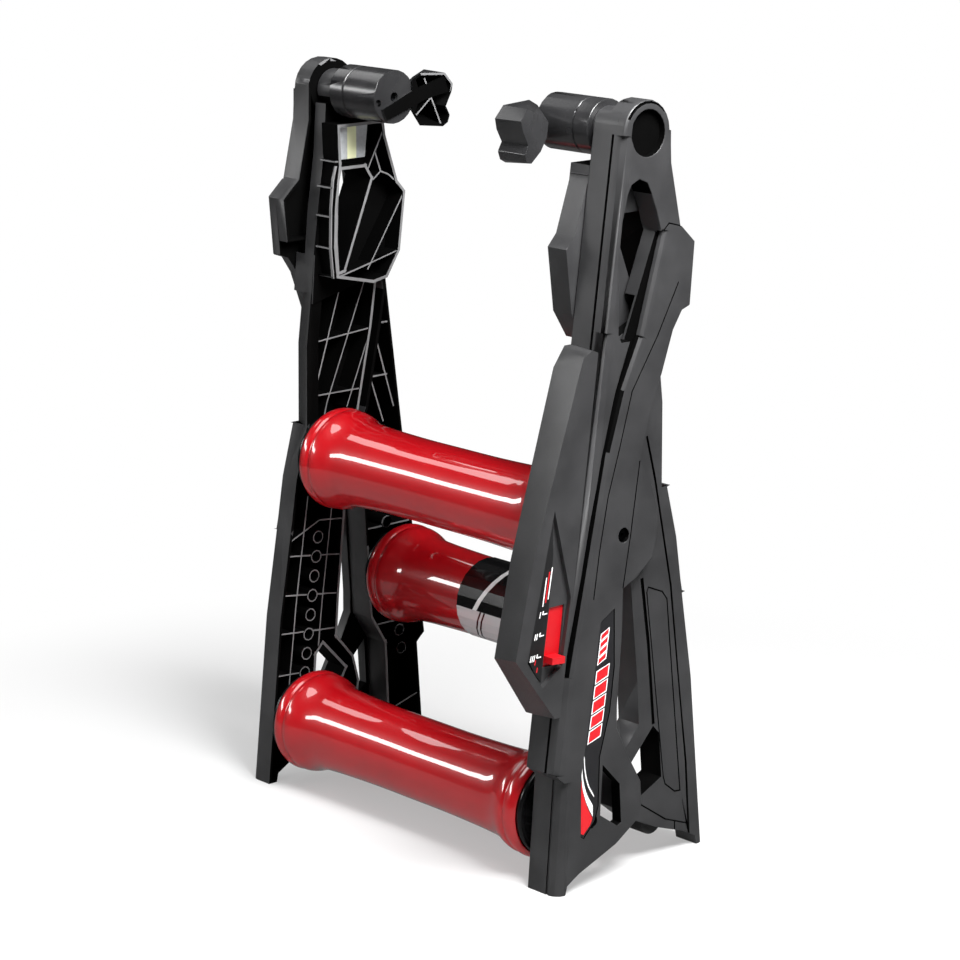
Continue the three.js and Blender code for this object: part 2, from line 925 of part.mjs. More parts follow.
// What rounds the upper edge of an outer frame's hub.
function hubEdge() {
  const profile = [[frameOuter - hubRounding, hubRadius + cutOverrun]];
  for (let i = 0; i <= roundingSteps; i += 1) {
    const angle = (i / roundingSteps) * (Math.PI / 2);
    profile.push([
      frameOuter + hubRounding * (Math.sin(angle) - 1),
      hubRadius + hubRounding * (Math.cos(angle) - 1),
    ]);
  }
  profile.push([frameOuter + cutOverrun, hubRadius - hubRounding], [frameOuter + cutOverrun, hubRadius + cutOverrun]);
  const reach = 2 * hubRadius;
  const upperHalf = [
    [-reach, hingeHeight],
    [reach, hingeHeight],
    [reach, hingeHeight + reach],
    [-reach, hingeHeight + reach],
  ];
  return turned(hinge, profile, fineSides).intersect(plate(upperHalf, frameInner, frameOuter + 2 * cutOverrun));
}

// Inner frame: drawn for the left side of the rear section, so its places across the stand are negative.
function innerFrame(axles, row) {
  const front = placed(innerFrontShares);
  const lower = [...front, ...placed(innerRearShares)];
  const strip = placed(innerTopStripShares);
  const neck = placed(neckShares);
  const slot = placed(innerSlotShares);
  const window = placed(innerWindowShares);
  const cageFloor = joinOverlap - innerFrameOuter;
  const neckFloor = joinOverlap - neckOuter;
  const ribs = innerRibShares.map((ends) => ribBetween(placed(ends), -frameInner - ribDrop, cageFloor));
  const bosses = [...rowPoints(row), ...axles].map((at) => bar(at, rowBossRadius, -frameInner, cageFloor, lowSides));
  const upperFront = front.slice(5);
  const solidFront = upperFront.slice(1).map((point, i) => [
    upperFront[i],
    point,
    [point[0] + stripSolid, point[1]],
    [upperFront[i][0] + stripSolid, upperFront[i][1]],
  ]);
  const cage = joined([
    rim(lower, -frameInner, -innerFrameOuter),
    edgeWalls(window, -frameInner, -innerFrameOuter),
    ...solidFront.map((outline) => plate(outline, -frameInner, -innerFrameOuter)),
    ...ribs,
    ...bosses,
  ]).intersect(plate(lower, -frameInner + cutOverrun, -innerFrameOuter));
  const neckRibs = neckRibShares.map((ends) => ribBetween(placed(ends), -neckInner - ribDrop, neckFloor));
  const lip = placed(lipShares);
  const lipRuns = lip.slice(1).map((point, i) => [lip[i], point]);
  const body = joined([
    plate(lower, webThickness - innerFrameOuter, -innerFrameOuter),
    cage,
    rim(neck, -neckInner, -neckOuter),
    ...neckRibs,
    ...rungShares.map((ends) => ribBetween(placed(ends), -neckInner - joinOverlap, neckFloor)),
    ...lipRuns.map((run) => stripBetween(run, rib, rib / 2, -neckInner, -neckInner - lipDepth)),
    plate(neck, webThickness - neckOuter, -neckOuter),
    plate(strip, neckFloor, -innerHubOuter),
    bar(hinge, innerHubRadius, -barrelOuter - runningGap, -innerHubOuter, fineSides),
    plate(placed(labelBlockShares), -neckInner - labelSetBack, -neckOuter),
    edgeWalls(slot, -neckInner, -neckOuter),
  ]);
  const chamfer = [
    [0, -frameInner - chamferStart],
    [cutOverrun, -frameInner - chamferStart],
    [cutOverrun, -innerFrameOuter - cutOverrun],
    [-stripChamfer, -innerFrameOuter - cutOverrun],
    [-stripChamfer, -innerFrameOuter],
  ];
  const cuts = [
    plate(slot, -neckInner + cutOverrun, -innerFrameOuter - cutOverrun),
    plate(window, -frameInner + cutOverrun, -innerFrameOuter - cutOverrun),
    bar(hinge, pinRadius + runningGap, -barrelInner, -frameOuter, midSides),
    swept(chamfer, [front[5], front[6]], 0),
    swept(chamfer, [front[6], front[7]], 0),
    ...rounding(front.slice(0, 6), innerCornerRadius, -innerFrameOuter, -1),
    engraved([...placed(panelSeamShares), ...placed(panelSeamShares.slice(0, 1))], seamWidth, seamDepth, -innerFrameOuter, -1),
    engraved(placed(panelGrooveShares), grooveWidth, webGrooveDepth, -innerFrameOuter, -1),
    engraved(placed(edgeGrooveShares), seamWidth + seamDepth, webGrooveDepth, -innerFrameOuter, -1),
    ...skirtSeamShares.map((line) => engraved(placed(line), seamWidth, seamDepth, -innerFrameOuter, -1)),
    bar(skid, skidRadius + runningGap, -frameInner + cutOverrun, -skidOuter - runningGap, fineSides),
  ];
  for (const at of rowPoints(row)) {
    cuts.push(bar(at, rowHoleRadius, -frameInner + cutOverrun, webThickness - innerFrameOuter, lowSides));
  }
  for (const at of axles) {
    cuts.push(bar(at, axleRadius + runningGap, -frameInner + cutOverrun, -axleEnd - runningGap, midSides));
  }
  return cutAway(body, cuts);
}

const [upperAxle] = placed(upperAxleShares);
const [lowerAxle] = placed(lowerAxleShares);
const [frontAxle] = placed(frontAxleShares);
const [skid] = placed(skidShares);
const rearRow = placed(rearRowShares);
const frontRow = placed(frontRowShares);
const outerBolt = frameOuter - boltHeadHeight - boltSinking;
const axleEnd = innerFrameOuter - webThickness;
const skidOuter = innerFrameOuter - webThickness - joinOverlap;
add("rear_frame_right", outerFrame([upperAxle, lowerAxle], rearRow), satinBlack, rearSection);
add("rear_frame_left", innerFrame([upperAxle, lowerAxle], rearRow), satinBlack, rearSection);
add("front_frame_left", outerFrame([frontAxle], frontRow), satinBlack, turnedSection);
add("front_frame_right", innerFrame([frontAxle], frontRow), satinBlack, turnedSection);

// The hinge parts and trim of one section, drawn for the rear section:
// the inner frame's side is the left, and the outer frame's side is the right.
function sectionTrim(group, innerSide, outerSide) {
  const barrelProfile = [
    [-barrelInner, endHoleRadius],
    [-barrelInner, barrelRadius],
    [-barrelInner - barrelSeam, barrelRadius],
    [-barrelInner - barrelSeam, barrelRadius - seamDepth],
    [-barrelInner - barrelSeam - seamWidth, barrelRadius - seamDepth],
    [-barrelInner - barrelSeam - seamWidth, barrelRadius],
    [-barrelOuter, barrelRadius],
    [-barrelOuter, pinRadius + runningGap],
    [-barrelInner - pinEnd, pinRadius + runningGap],
    [-barrelInner - pinEnd, endHoleRadius],
  ];
  const smallHole = bar(placed([smallHoleShare])[0], pinEnd, joinOverlap - barrelInner, -barrelInner - pinEnd, lowSides);
  const barrel = turned(hinge, barrelProfile, fineSides).subtract(smallHole);
  add("hinge_barrel_" + innerSide, barrel, satinBlack, group);

  const innerEnd = placed(footInnerEndShares);
  const outerEnd = placed(footOuterEndShares);
  const block = loft(outerEnd, -centreFootOuter, innerEnd, -centreFootInner);
  const hollow = loft(
    inset(outerEnd, footWall),
    footWall - centreFootOuter,
    inset(innerEnd, footWall),
    joinOverlap - centreFootInner,
  );
  const footBody = joined([
    block.subtract(hollow),
    ...centreFootRibShares.map((ends) => ribBetween(placed(ends), -centreFootInner - joinOverlap, -centreFootOuter)),
    bar(hinge, barrelRadius + runningGap + wall, -centreFootInner, -centreFootOuter, fineSides),
  ]).intersect(block);
  const arm = plate(placed(armShares), -centreFootInner, -centreFootInner - armThickness);
  const barrelSpace = bar(hinge, barrelRadius + runningGap, runningGap - barrelInner, -frameInner, fineSides);
  add("centre_foot_" + innerSide, cutAway(joined([footBody, arm]), [barrelSpace]), satinBlack, group);

  const headStart = -(frameOuter - hubHoleDepth + runningGap);
  const pin = joined([
    bar(hinge, pinRadius, -barrelInner - pinEnd - runningGap, headStart - joinOverlap, midSides),
    bar(hinge, pinHeadRadius, headStart, headStart - pinHeadHeight, fineSides),
  ]);
  add("hinge_pin_" + innerSide, pin, steel, group);
  const capFace = frameOuter - hubCapDepth;
  const hubCap = bar(hinge, hubHoleRadius - runningGap, capFace - hubCapThickness, capFace, fineSides);
  add("hub_cap_" + outerSide, hubCap, glossBlack, group);

  const stripeFloor = frameOuter - inlayRecess + runningGap;
  const stripe = plate(inset(placed(stripeRecessShares), inlayGap), stripeFloor, stripeFloor + inlayThickness);
  add("stripe_inlay_" + outerSide, stripe, stripeRed, group);
  const labelFloor = -neckInner - labelSetBack + runningGap;
  const label = plate(placed(labelShares), labelFloor, labelFloor + inlayThickness);
  add("label_inlay_" + innerSide, label, labelGrey, group);
  const rubberFoot = bar(skid, skidRadius, -frameInner - skidSetBack, -skidOuter, fineSides);
  add("rubber_foot_" + innerSide, rubberFoot, rubberBlack, group);
}
sectionTrim(rearSection, "left", "right");
sectionTrim(turnedSection, "right", "left");

// A drum with everything that carries it. The sides are the names of the section's inner and outer frame sides.
function drumSet(group, name, axle, innerSide, outerSide) {
  const spread = drumFlareRadius - drumWaistRadius;
  const along = ([share, out]) => [share * drumHalfLength, drumWaistRadius + out * spread];
  const mirrored = ([x, radius]) => [-x, radius];
  const outside = drumShares.map(along);
  const inside = drumInsideShares.map(along);
  const profile = [
    ...outside,
    ...inside,
    [0, drumWaistRadius - drumWall],
    ...inside.map(mirrored).reverse(),
    ...outside.slice(1).map(mirrored).reverse(),
  ];
  add(name + "_drum", turned(axle, profile, fineSides), glossRed, group);

  const sides = [
    [-1, innerSide],
    [1, outerSide],
  ];
  for (const [way, side] of sides) {
    const capFace = drumHalfLength + capProud;
    const capInside = drumHalfLength - capDepth;
    const shoulder = capInside + bearingStop;
    const lipStart = drumHalfLength + runningGap;
    const cap = [
      [capInside, bearingOuterRadius - bearingSeat],
      [shoulder, bearingOuterRadius - bearingSeat],
      [shoulder, bearingOuterRadius + runningGap],
      [capFace, bearingOuterRadius + runningGap],
      [capFace, capRimRadius],
      [lipStart, capRimRadius],
      [lipStart, capSkirtRadius],
      [capInside + joinOverlap, capSkirtRadius],
      [capInside + joinOverlap, capSkirtRadius - capWall],
      [capFace - capWall, capSkirtRadius - capWall],
      [capFace - capWall, capHubRadius],
      [capInside, capHubRadius],
    ];
    const facing = (list) => list.map(([x, radius]) => [way * x, radius]);
    add(name + "_drum_cap_" + side, turned(axle, facing(cap), capSides), glossBlack, group);
    const bearingStart = shoulder + runningGap;
    const bearing = [
      [bearingStart, axleRadius + runningGap],
      [bearingStart, bearingOuterRadius],
      [bearingStart + bearingWidth, bearingOuterRadius],
      [bearingStart + bearingWidth, axleRadius + runningGap],
    ];
    add(name + "_drum_bearing_" + side, turned(axle, facing(bearing), lowSides), steel, group);
    const spacerStart = bearingStart + bearingWidth + runningGap;
    const spacer = [
      [spacerStart, axleRadius + runningGap],
      [spacerStart, spacerRadius],
      [frameInner - runningGap, spacerRadius],
      [frameInner - runningGap, axleRadius + runningGap],
    ];
    add(name + "_drum_spacer_" + side, turned(axle, facing(spacer), lowSides), steel, group);
  }
  const boltInner = outerBolt - boltShankLength;
  const head = joined([
    bar(axle, boltHeadRadius, outerBolt, outerBolt + boltHeadHeight, midSides),
    bar(axle, boltShankRadius, boltInner, outerBolt + joinOverlap, lowSides),
  ]);
  const headTop = outerBolt + boltHeadHeight;
  const socket = bar(axle, socketRadius, headTop - socketDepth, headTop + joinOverlap, 6);
  add(name + "_axle_bolt", head.subtract(socket), steel, group);
  const axleBar = bar(axle, axleRadius, -axleEnd, outerBolt - runningGap, midSides);
  const bore = bar(axle, boltShankRadius + runningGap, boltInner - runningGap, outerBolt, lowSides);
  add(name + "_axle", axleBar.subtract(bore), steel, group);
}
drumSet(rearSection, "upper", upperAxle, "left", "right");
drumSet(rearSection, "lower", lowerAxle, "left", "right");
drumSet(turnedSection, "front", frontAxle, "right", "left");

// The band round the front drum
const bandInside = drumWaistRadius + runningGap;
const band = [
  [-bandHalfLength, bandInside],
  [-bandHalfLength, bandInside + bandThickness],
  [bandHalfLength, bandInside + bandThickness],
  [bandHalfLength, bandInside],
];
add("front_drum_band", turned(frontAxle, band, fineSides), labelGrey, turnedSection);

// The brake: a disc on the upper drum, and magnets that the lever moves along the leg
const discInner = drumHalfLength + capProud + runningGap;
const discProfile = [
  [discInner, discBore],
  [discInner, discRadius],
  [discInner + discThickness, discRadius],
  [discInner + discThickness, discBore],
];
add("brake_disc", turned(upperAxle, discProfile, fineSides), aluminium, rearSection);

const coverBase = placed(coverShares);
const coverFace = placed(coverFaceShares);
const coverRecess = placed(coverRecessShares);
const coverShell = loft(coverBase, frameInner, coverFace, coverOuter);
const coverSpace = loft(
  inset(coverBase, coverWall),
  frameInner - cutOverrun,
  inset(coverFace, coverWall),
  coverOuter - coverWall,
);
const recessFloor = coverOuter - recessDepth;
const recessBack = recessFloor - recessFloorThickness;
const recessBox = joined([
  plate(coverRecess, recessBack, coverOuter - joinOverlap),
  edgeWalls(coverRecess, recessBack, coverOuter - joinOverlap),
]).intersect(coverShell);
const springSeat = plate(placed(springSeatShares), frameInner, recessFloor).intersect(coverShell);
const cover = cutAway(joined([coverShell.subtract(coverSpace), recessBox, springSeat]), [
  plate(coverRecess, recessFloor, coverOuter + cutOverrun),
  plate(placed(leverOpeningShares), recessBack - cutOverrun, recessFloor + joinOverlap),
]);
add("brake_cover", cover, satinBlack, rearSection);
const panelInner = recessFloor + runningGap;
add("brake_mark_panel", plate(placed(markPanelShares), panelInner, panelInner + panelThickness), panelBlack, rearSection);

const leverOuter = recessBack - runningGap;
const lever = joined([
  plate(placed(leverShares), leverOuter - leverThickness, leverOuter),
  plate(placed(leverTabShares), leverOuter - leverThickness, leverTabEnd),
]);
add("brake_lever", lever, leverRed, rearSection);

// A point beside the leg's front edge: its height as a share, and its distance behind the edge.
const [, , legLow, legHigh] = placed(frontEdgeShares);
function beside(share, behind) {
  const up = share * hingeHeight;
  const edge = legLow[0] + ((legHigh[0] - legLow[0]) * (up - legLow[1])) / (legHigh[1] - legLow[1]);
  return [edge + behind, up];
}
const [holderLow, holderHigh] = holderShares;
const holderShape = (frontShare, rearShare) => [
  beside(holderLow, frontShare * footReach),
  beside(holderLow, rearShare * footReach),
  beside(holderHigh, rearShare * footReach),
  beside(holderHigh, frontShare * footReach),
];
const holderInner = discInner + discThickness + magnetGap + magnetThickness + runningGap;
const holder = joined([
  plate(holderShape(holderFrontShare, holderRearShare), holderInner, holderInner + holderThickness),
  plate(holderShape(holderFrontShare, holderSeatShare), holderInner, leverOuter - leverThickness - runningGap),
]);
add("magnet_holder", holder, panelBlack, rearSection);
const [lowestMagnet, highestMagnet] = magnetShares;
["lower", "middle", "upper"].forEach((level, i) => {
  const at = beside(lowestMagnet + ((highestMagnet - lowestMagnet) * i) / 2, magnetInset);
  const magnet = bar(at, magnetRadius, holderInner - runningGap - magnetThickness, holderInner - runningGap, midSides);
  add("brake_magnet_" + level, magnet, steel, rearSection);
});
add("detent_spring", plate(placed(springShares), springInner, springOuter), steel, rearSection);

// The origin is on the floor, under the middle of the whole from front to back.
const middle = new THREE.Box3().setFromObject(rollers, true).getCenter(new THREE.Vector3());
rearSection.position.y = -middle.y;
turnedSection.position.y = -middle.y;

export default rollers;
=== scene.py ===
import bmesh
import bpy
import numpy as np
from mathutils import Matrix, Vector
from mathutils.bvhtree import BVHTree


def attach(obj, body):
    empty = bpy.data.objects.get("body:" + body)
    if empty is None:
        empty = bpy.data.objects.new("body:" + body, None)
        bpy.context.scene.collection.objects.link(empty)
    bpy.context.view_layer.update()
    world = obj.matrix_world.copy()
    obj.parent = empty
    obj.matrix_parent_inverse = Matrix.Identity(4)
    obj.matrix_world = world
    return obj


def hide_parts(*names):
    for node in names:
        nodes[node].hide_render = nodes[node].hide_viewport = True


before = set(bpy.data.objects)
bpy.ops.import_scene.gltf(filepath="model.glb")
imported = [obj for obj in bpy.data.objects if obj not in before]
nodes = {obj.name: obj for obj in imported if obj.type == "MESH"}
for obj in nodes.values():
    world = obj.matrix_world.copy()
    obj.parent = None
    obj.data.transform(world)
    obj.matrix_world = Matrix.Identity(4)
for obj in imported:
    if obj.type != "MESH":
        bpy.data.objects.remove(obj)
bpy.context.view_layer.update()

mm = 0.001
standShift = 23.0          # the hinge's place along Y, in millimetres
print("solids loaded:", len(nodes))


# An sRGB hex colour as linear red, green, blue and full alpha.
def linear(code):
    channels = [int(code[i:i + 2], 16) / 255 for i in (1, 3, 5)]
    return [c / 12.92 if c <= 0.04045 else ((c + 0.055) / 1.055) ** 2.4 for c in channels] + [1.0]


# One shader node, with its settings, its socket values and the sockets that feed it.
def addNode(tree, kind, values=None, links=None, **settings):
    node = tree.nodes.new(kind)
    for name, value in settings.items():
        setattr(node, name, value)
    for socket, value in (values or {}).items():
        node.inputs[socket].default_value = value
    for socket, source in (links or {}).items():
        tree.links.new(source, node.inputs[socket])
    return node


# A principled surface with its plain values set on its own sockets.
def newMaterial(name, colour, roughness, metallic=0.0, **more):
    material = bpy.data.materials.new(name)
    material.use_nodes = True
    tree = material.node_tree
    shader = tree.nodes["Principled BSDF"]
    shader.inputs["Base Color"].default_value = linear(colour)
    shader.inputs["Roughness"].default_value = roughness
    shader.inputs["Metallic"].default_value = metallic
    for socket, value in more.items():
        shader.inputs[socket.replace("_", " ")].default_value = value
    return material, tree, shader


# Noise on Object coordinates whose grains are as wide as the size, in millimetres.
def grain(tree, size, detail=4.0):
    place = addNode(tree, "ShaderNodeTexCoord")
    return addNode(tree, "ShaderNodeTexNoise", {"Scale": 1000 / size, "Detail": detail},
                   {"Vector": place.outputs["Object"]}).outputs[0]


# Feeds a height into the shader's normal; the depth is in millimetres.
def bumped(tree, shader, height, strength, depth):
    bump = addNode(tree, "ShaderNodeBump", {"Strength": strength, "Distance": depth * mm}, {"Height": height})
    tree.links.new(bump.outputs["Normal"], shader.inputs["Normal"])


# A colour between two hex colours or sockets, by a factor.
def mixed(tree, factor, low, high):
    blend = addNode(tree, "ShaderNodeMix", data_type="RGBA")
    for socket, colour in ((6, low), (7, high)):
        if isinstance(colour, str):
            blend.inputs[socket].default_value = linear(colour)
        else:
            tree.links.new(colour, blend.inputs[socket])
    tree.links.new(factor, blend.inputs[0])
    return blend.outputs[2]


# A value moved from one range to another, held at its ends.
def spread(tree, value, fromLow, fromHigh, toLow, toHigh):
    ends = {1: fromLow, 2: fromHigh, 3: toLow, 4: toHigh}
    return addNode(tree, "ShaderNodeMapRange", ends, {0: value}).outputs[0]


# Two values, or a value and a number, put through one step of arithmetic.
def worked(tree, operation, value, other):
    node = addNode(tree, "ShaderNodeMath", links={0: value}, operation=operation)
    if isinstance(other, (int, float)):
        node.inputs[1].default_value = other
    else:
        tree.links.new(other, node.inputs[1])
    return node.outputs[0]


# Object coordinates one by one, in metres.
def objectAxes(tree):
    place = addNode(tree, "ShaderNodeTexCoord")
    axes = addNode(tree, "ShaderNodeSeparateXYZ", links={"Vector": place.outputs["Object"]})
    return axes.outputs["X"], axes.outputs["Y"], axes.outputs["Z"]


# The skin of moulded nylon, with the patches of its painted shade and painted highlight, in millimetres. The
# real grain is 0.1 mm, drawn coarser so that it shows.
nylonSkin = {"cloudWidth": 45, "grainWidth": 0.9, "grainDepth": 0.06, "shadeWidth": 30, "highlightPatchWidth": 12}


# Glass-filled nylon from a spark-eroded mould: satin, with a fine grain and cloudy patches.
def mouldedNylon(name, dark, light, roughness, relief=0.3, gloss=0.45):
    material, tree, shader = newMaterial(name, light, roughness, Specular_IOR_Level=gloss)
    clouds = spread(tree, grain(tree, nylonSkin["cloudWidth"], 3), 0.35, 0.65, 0, 1)
    tree.links.new(mixed(tree, clouds, dark, light), shader.inputs["Base Color"])
    skin = grain(tree, nylonSkin["grainWidth"], 2)
    uneven = spread(tree, skin, 0.3, 0.7, roughness - 0.2 * relief, roughness + 0.25 * relief)
    tree.links.new(uneven, shader.inputs["Roughness"])
    bumped(tree, shader, skin, relief, nylonSkin["grainDepth"])
    return material


# Painted shade: the same nylon coloured black where it lies in deep shade, as between ribs, with hardly a
# shine.
def shadedNylon(name):
    material, tree, shader = newMaterial(name, "#030303", 0.75, Specular_IOR_Level=0.04)
    skin = grain(tree, nylonSkin["grainWidth"], 2)
    patches = grain(tree, nylonSkin["shadeWidth"], 2)
    tree.links.new(mixed(tree, patches, "#020202", "#050505"), shader.inputs["Base Color"])
    bumped(tree, shader, skin, 0.3, nylonSkin["grainDepth"])
    return material


# Painted highlight on the tops of the ribs: a pale nylon where their edges catch the light, in patches that
# vary at random.
def paintedRibHighlight(name):
    material, tree, shader = newMaterial(name, "#7e8082", 0.45)
    highlightPatches = grain(tree, nylonSkin["highlightPatchWidth"], 3)
    tree.links.new(mixed(tree, highlightPatches, "#646465", "#7c7c7d"), shader.inputs["Base Color"])
    return material


# Aluminium tube with a gloss powder coat: deep colour under a clear skin with a slight orange peel.
def powderCoat(name, dark, light):
    material, tree, shader = newMaterial(name, dark, 0.35, Coat_Weight=1.0, Coat_Roughness=0.02, Coat_IOR=1.9)
    clouds = spread(tree, grain(tree, 60, 2), 0.3, 0.7, 0, 1)
    tree.links.new(mixed(tree, clouds, dark, light), shader.inputs["Base Color"])
    bumped(tree, shader, grain(tree, 9, 1), 0.04, 0.05)
    return material


# Polished ABS moulding or ink: even colour, a sharp shine and the faint waviness of its skin.
def glossPlastic(name, colour, lighter, roughness=0.2):
    material, tree, shader = newMaterial(name, colour, roughness)
    wave = grain(tree, 18, 2)
    tree.links.new(mixed(tree, wave, colour, lighter), shader.inputs["Base Color"])
    bumped(tree, shader, wave, 0.08, 0.2)
    return material


# Plated or turned metal: a grey mirror broken up by fine marks of the given width.
def brightMetal(name, colour, roughness, size):
    material, tree, shader = newMaterial(name, colour, roughness, 1.0)
    marks = grain(tree, size, 5)
    uneven = spread(tree, marks, 0.3, 0.7, roughness - 0.08, roughness + 0.12)
    tree.links.new(uneven, shader.inputs["Roughness"])
    bumped(tree, shader, marks, 0.1, 0.05)
    return material


# Moulded rubber: matt and nearly black, with a chalky bloom.
def dullRubber(name):
    material, tree, shader = newMaterial(name, "#161616", 0.8)
    bloom = grain(tree, 3, 5)
    tree.links.new(mixed(tree, bloom, "#101010", "#242424"), shader.inputs["Base Color"])
    bumped(tree, shader, bloom, 0.3, 0.1)
    return material


# Printed film round the drum: black above, silver below, with one slanting white band and two black ones.
def printedFilm(name, film):
    material, tree, shader = newMaterial(name, film["silver"], 0.16, Coat_Weight=0.6, Coat_Roughness=0.03)
    across, _, up = objectAxes(tree)
    slant = worked(tree, "SUBTRACT", across, worked(tree, "MULTIPLY", up, film["lean"]))
    over = spread(tree, up, (film["split"] - 0.3) * mm, (film["split"] + 0.3) * mm, 0, 1)
    under = spread(tree, over, 0, 1, 1, 0)
    colour = mixed(tree, over, film["silver"], film["black"])
    for middle, half, ink in film["bands"]:
        offset = worked(tree, "SUBTRACT", slant, (middle - film["lean"] * film["split"]) * mm)
        away = worked(tree, "ABSOLUTE", offset, 0.0)
        inside = spread(tree, away, half * mm, (half + 0.3) * mm, 1, 0)
        place = over if ink == film["white"] else under
        colour = mixed(tree, worked(tree, "MULTIPLY", inside, place), colour, ink)
    tree.links.new(colour, shader.inputs["Base Color"])
    return material


# Paper label: silver at the sides and a pale strip down the middle.
def stripedLabel(name, label):
    material, tree, shader = newMaterial(name, label["side"], 0.35)
    _, along, _ = objectAxes(tree)
    away = worked(tree, "ABSOLUTE", worked(tree, "SUBTRACT", along, label["middle"] * mm), 0.0)
    strip = spread(tree, away, label["half"] * mm, (label["half"] + 0.5) * mm, 1, 0)
    paper = mixed(tree, grain(tree, 4, 3), label["side"], label["sideDark"])
    tree.links.new(mixed(tree, strip, paper, label["strip"]), shader.inputs["Base Color"])
    return material


frameNylon = mouldedNylon("satinMouldedNylon", "#2d2d2e", "#363637", 0.4, 0.3, 0.45)
shadeNylon = shadedNylon("shadedMouldedNylon")
ribHighlightNylon = paintedRibHighlight("paintedHighlightNylon")
barrelNylon = mouldedNylon("polishedNylon", "#232324", "#2d2d2e", 0.24, 0.06, 0.7)
redPaint = powderCoat("redPowderCoat", "#a8000c", "#b30310")
capPlastic = glossPlastic("glossBlackAbs", "#0a0a0b", "#121213", 0.22)
leverPlastic = glossPlastic("redAbs", "#c4121c", "#b00d16", 0.35)
panelPlastic = mouldedNylon("mattBlackPanel", "#131314", "#1b1b1c", 0.5)
zincSteel = brightMetal("zincPlatedSteel", "#c4c6c9", 0.26, 0.8)
turnedAluminium = brightMetal("turnedAluminium", "#cfd1d4", 0.3, 0.5)
blackSteel = brightMetal("blackOxideSteel", "#17181a", 0.35, 0.8)
rubber = dullRubber("mouldedRubber")
whiteInk = glossPlastic("whitePrintedInk", "#f4f4f4", "#e8e8e8", 0.3)
redInk = glossPlastic("redPrintedInk", "#cf1620", "#c2121b", 0.28)
inkBase = glossPlastic("blackPrintedFilm", "#1a1a1c", "#232325", 0.3)
print("materials made")


# Points in millimetres and faces put into a mesh that rides on a body.
def finishPiece(name, points, faces, material, body, smooth=True):
    mesh = bpy.data.meshes.new(name)
    mesh.from_pydata((np.asarray(points) * mm).tolist(), [], faces)
    mesh.update()
    piece = bpy.data.objects.new(name, mesh)
    bpy.context.scene.collection.objects.link(piece)
    mesh.materials.append(material)
    mesh.polygons.foreach_set("use_smooth", [smooth] * len(mesh.polygons))
    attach(piece, body)
    return piece


# A closed profile of along and radius carried round an axis along X, so that its faces point outwards.
def turnedPiece(name, profile, centre, material, body, sides=128):
    along, radius = np.asarray(profile, float).T
    if np.sum(along * np.roll(radius, -1) - np.roll(along, -1) * radius) > 0:
        along, radius = along[::-1], radius[::-1]
    angle = np.linspace(0, 2 * np.pi, sides, endpoint=False)
    x = np.repeat(along[:, None], sides, 1)
    y = centre[0] + radius[:, None] * np.cos(angle)
    z = centre[1] + radius[:, None] * np.sin(angle)
    points = np.stack([x, y, z], 2).reshape(-1, 3)
    a, b = np.meshgrid(np.arange(len(along)), np.arange(sides), indexing="ij")
    a, b = a.ravel(), b.ravel()
    nextA, nextB = (a + 1) % len(along), (b + 1) % sides
    faces = np.stack([a * sides + b, a * sides + nextB, nextA * sides + nextB, nextA * sides + b], 1)
    return finishPiece(name, points, faces.tolist(), material, body)


# A curve through the points, by cubic Hermite pieces whose slopes come from the neighbours.
def smoothLine(points, count):
    points = np.asarray(points, float)
    step = np.concatenate([[0], np.cumsum(np.linalg.norm(np.diff(points, axis=0), axis=1))])
    slope = np.gradient(points, step, axis=0)
    t = np.linspace(0, step[-1], count)
    k = np.clip(np.searchsorted(step, t) - 1, 0, len(step) - 2)
    h = (step[k + 1] - step[k])[:, None]
    s = (t - step[k])[:, None] / h
    return ((2 * s**3 - 3 * s**2 + 1) * points[k] + (s**3 - 2 * s**2 + s) * h * slope[k]
            + (-2 * s**3 + 3 * s**2) * points[k + 1] + (s**3 - s**2) * h * slope[k + 1])


# A thin closed patch of print on a face across X: its outline in (y, z) from the hinge, its two ends along X.
# A turned patch is the same on the other section, which is the first turned half round the hinge's upright.
def printedPatch(name, outline, low, high, material, body, turned=False):
    y, z = np.asarray(outline, float).T
    if np.sum(y * np.roll(z, -1) - np.roll(y, -1) * z) < 0:
        y, z = y[::-1], z[::-1]
    count = len(y)
    ends = [np.stack([np.full(count, x), y, z], 1) for x in (low, high)]
    points = np.concatenate(ends) * ([-1, -1, 1] if turned else [1, 1, 1]) + [0, standShift, 0]
    k = np.arange(count)
    nextK = (k + 1) % count
    walls = np.stack([k, nextK, nextK + count, k + count], 1).tolist()
    faces = [k[::-1].tolist(), (k + count).tolist()] + walls
    return finishPiece(name, points, faces, material, body, False)


# What every finished copy goes by: lengths in millimetres and angles in degrees.
finishing = {
    "rayCount": 40,
    "rayStart": 0.2,
    "rayLift": 0.2,        # how squarely a ray leaves the face, at the least
    "merge": 0.02,
    "flat": 1.0,
    "openFace": 0.9,       # how squarely a face looks out of the open side
    "tightCorner": 35,
    "roundedBend": 40,
    "smoothBend": 28,
    "room": 2.3,           # how many roundings the edges at a rounded corner hold
    "stepReach": 6,
}

# Fixed rays over the whole sphere, spread by the golden angle.
rayCount = finishing["rayCount"]
turns = np.arange(rayCount) * np.pi * (3 - 5 ** 0.5)
lifts = 1 - 2 * (np.arange(rayCount) + 0.5) / rayCount
rays = np.stack([np.cos(turns) * np.sqrt(1 - lifts**2), np.sin(turns) * np.sqrt(1 - lifts**2), lifts], 1)


# How much of the sky over a face the rest of its solid hides: the rays that hit it within reach,
# over all rays that leave the face.
def hiddenShare(solid, face, reach):
    normal = np.array(face.normal)
    start = face.calc_center_median() + face.normal * finishing["rayStart"] * mm
    over = rays[rays @ normal > finishing["rayLift"]]
    hits = [solid.ray_cast(start, Vector(ray), reach * mm)[0] is not None for ray in over]
    return sum(hits) / len(hits)
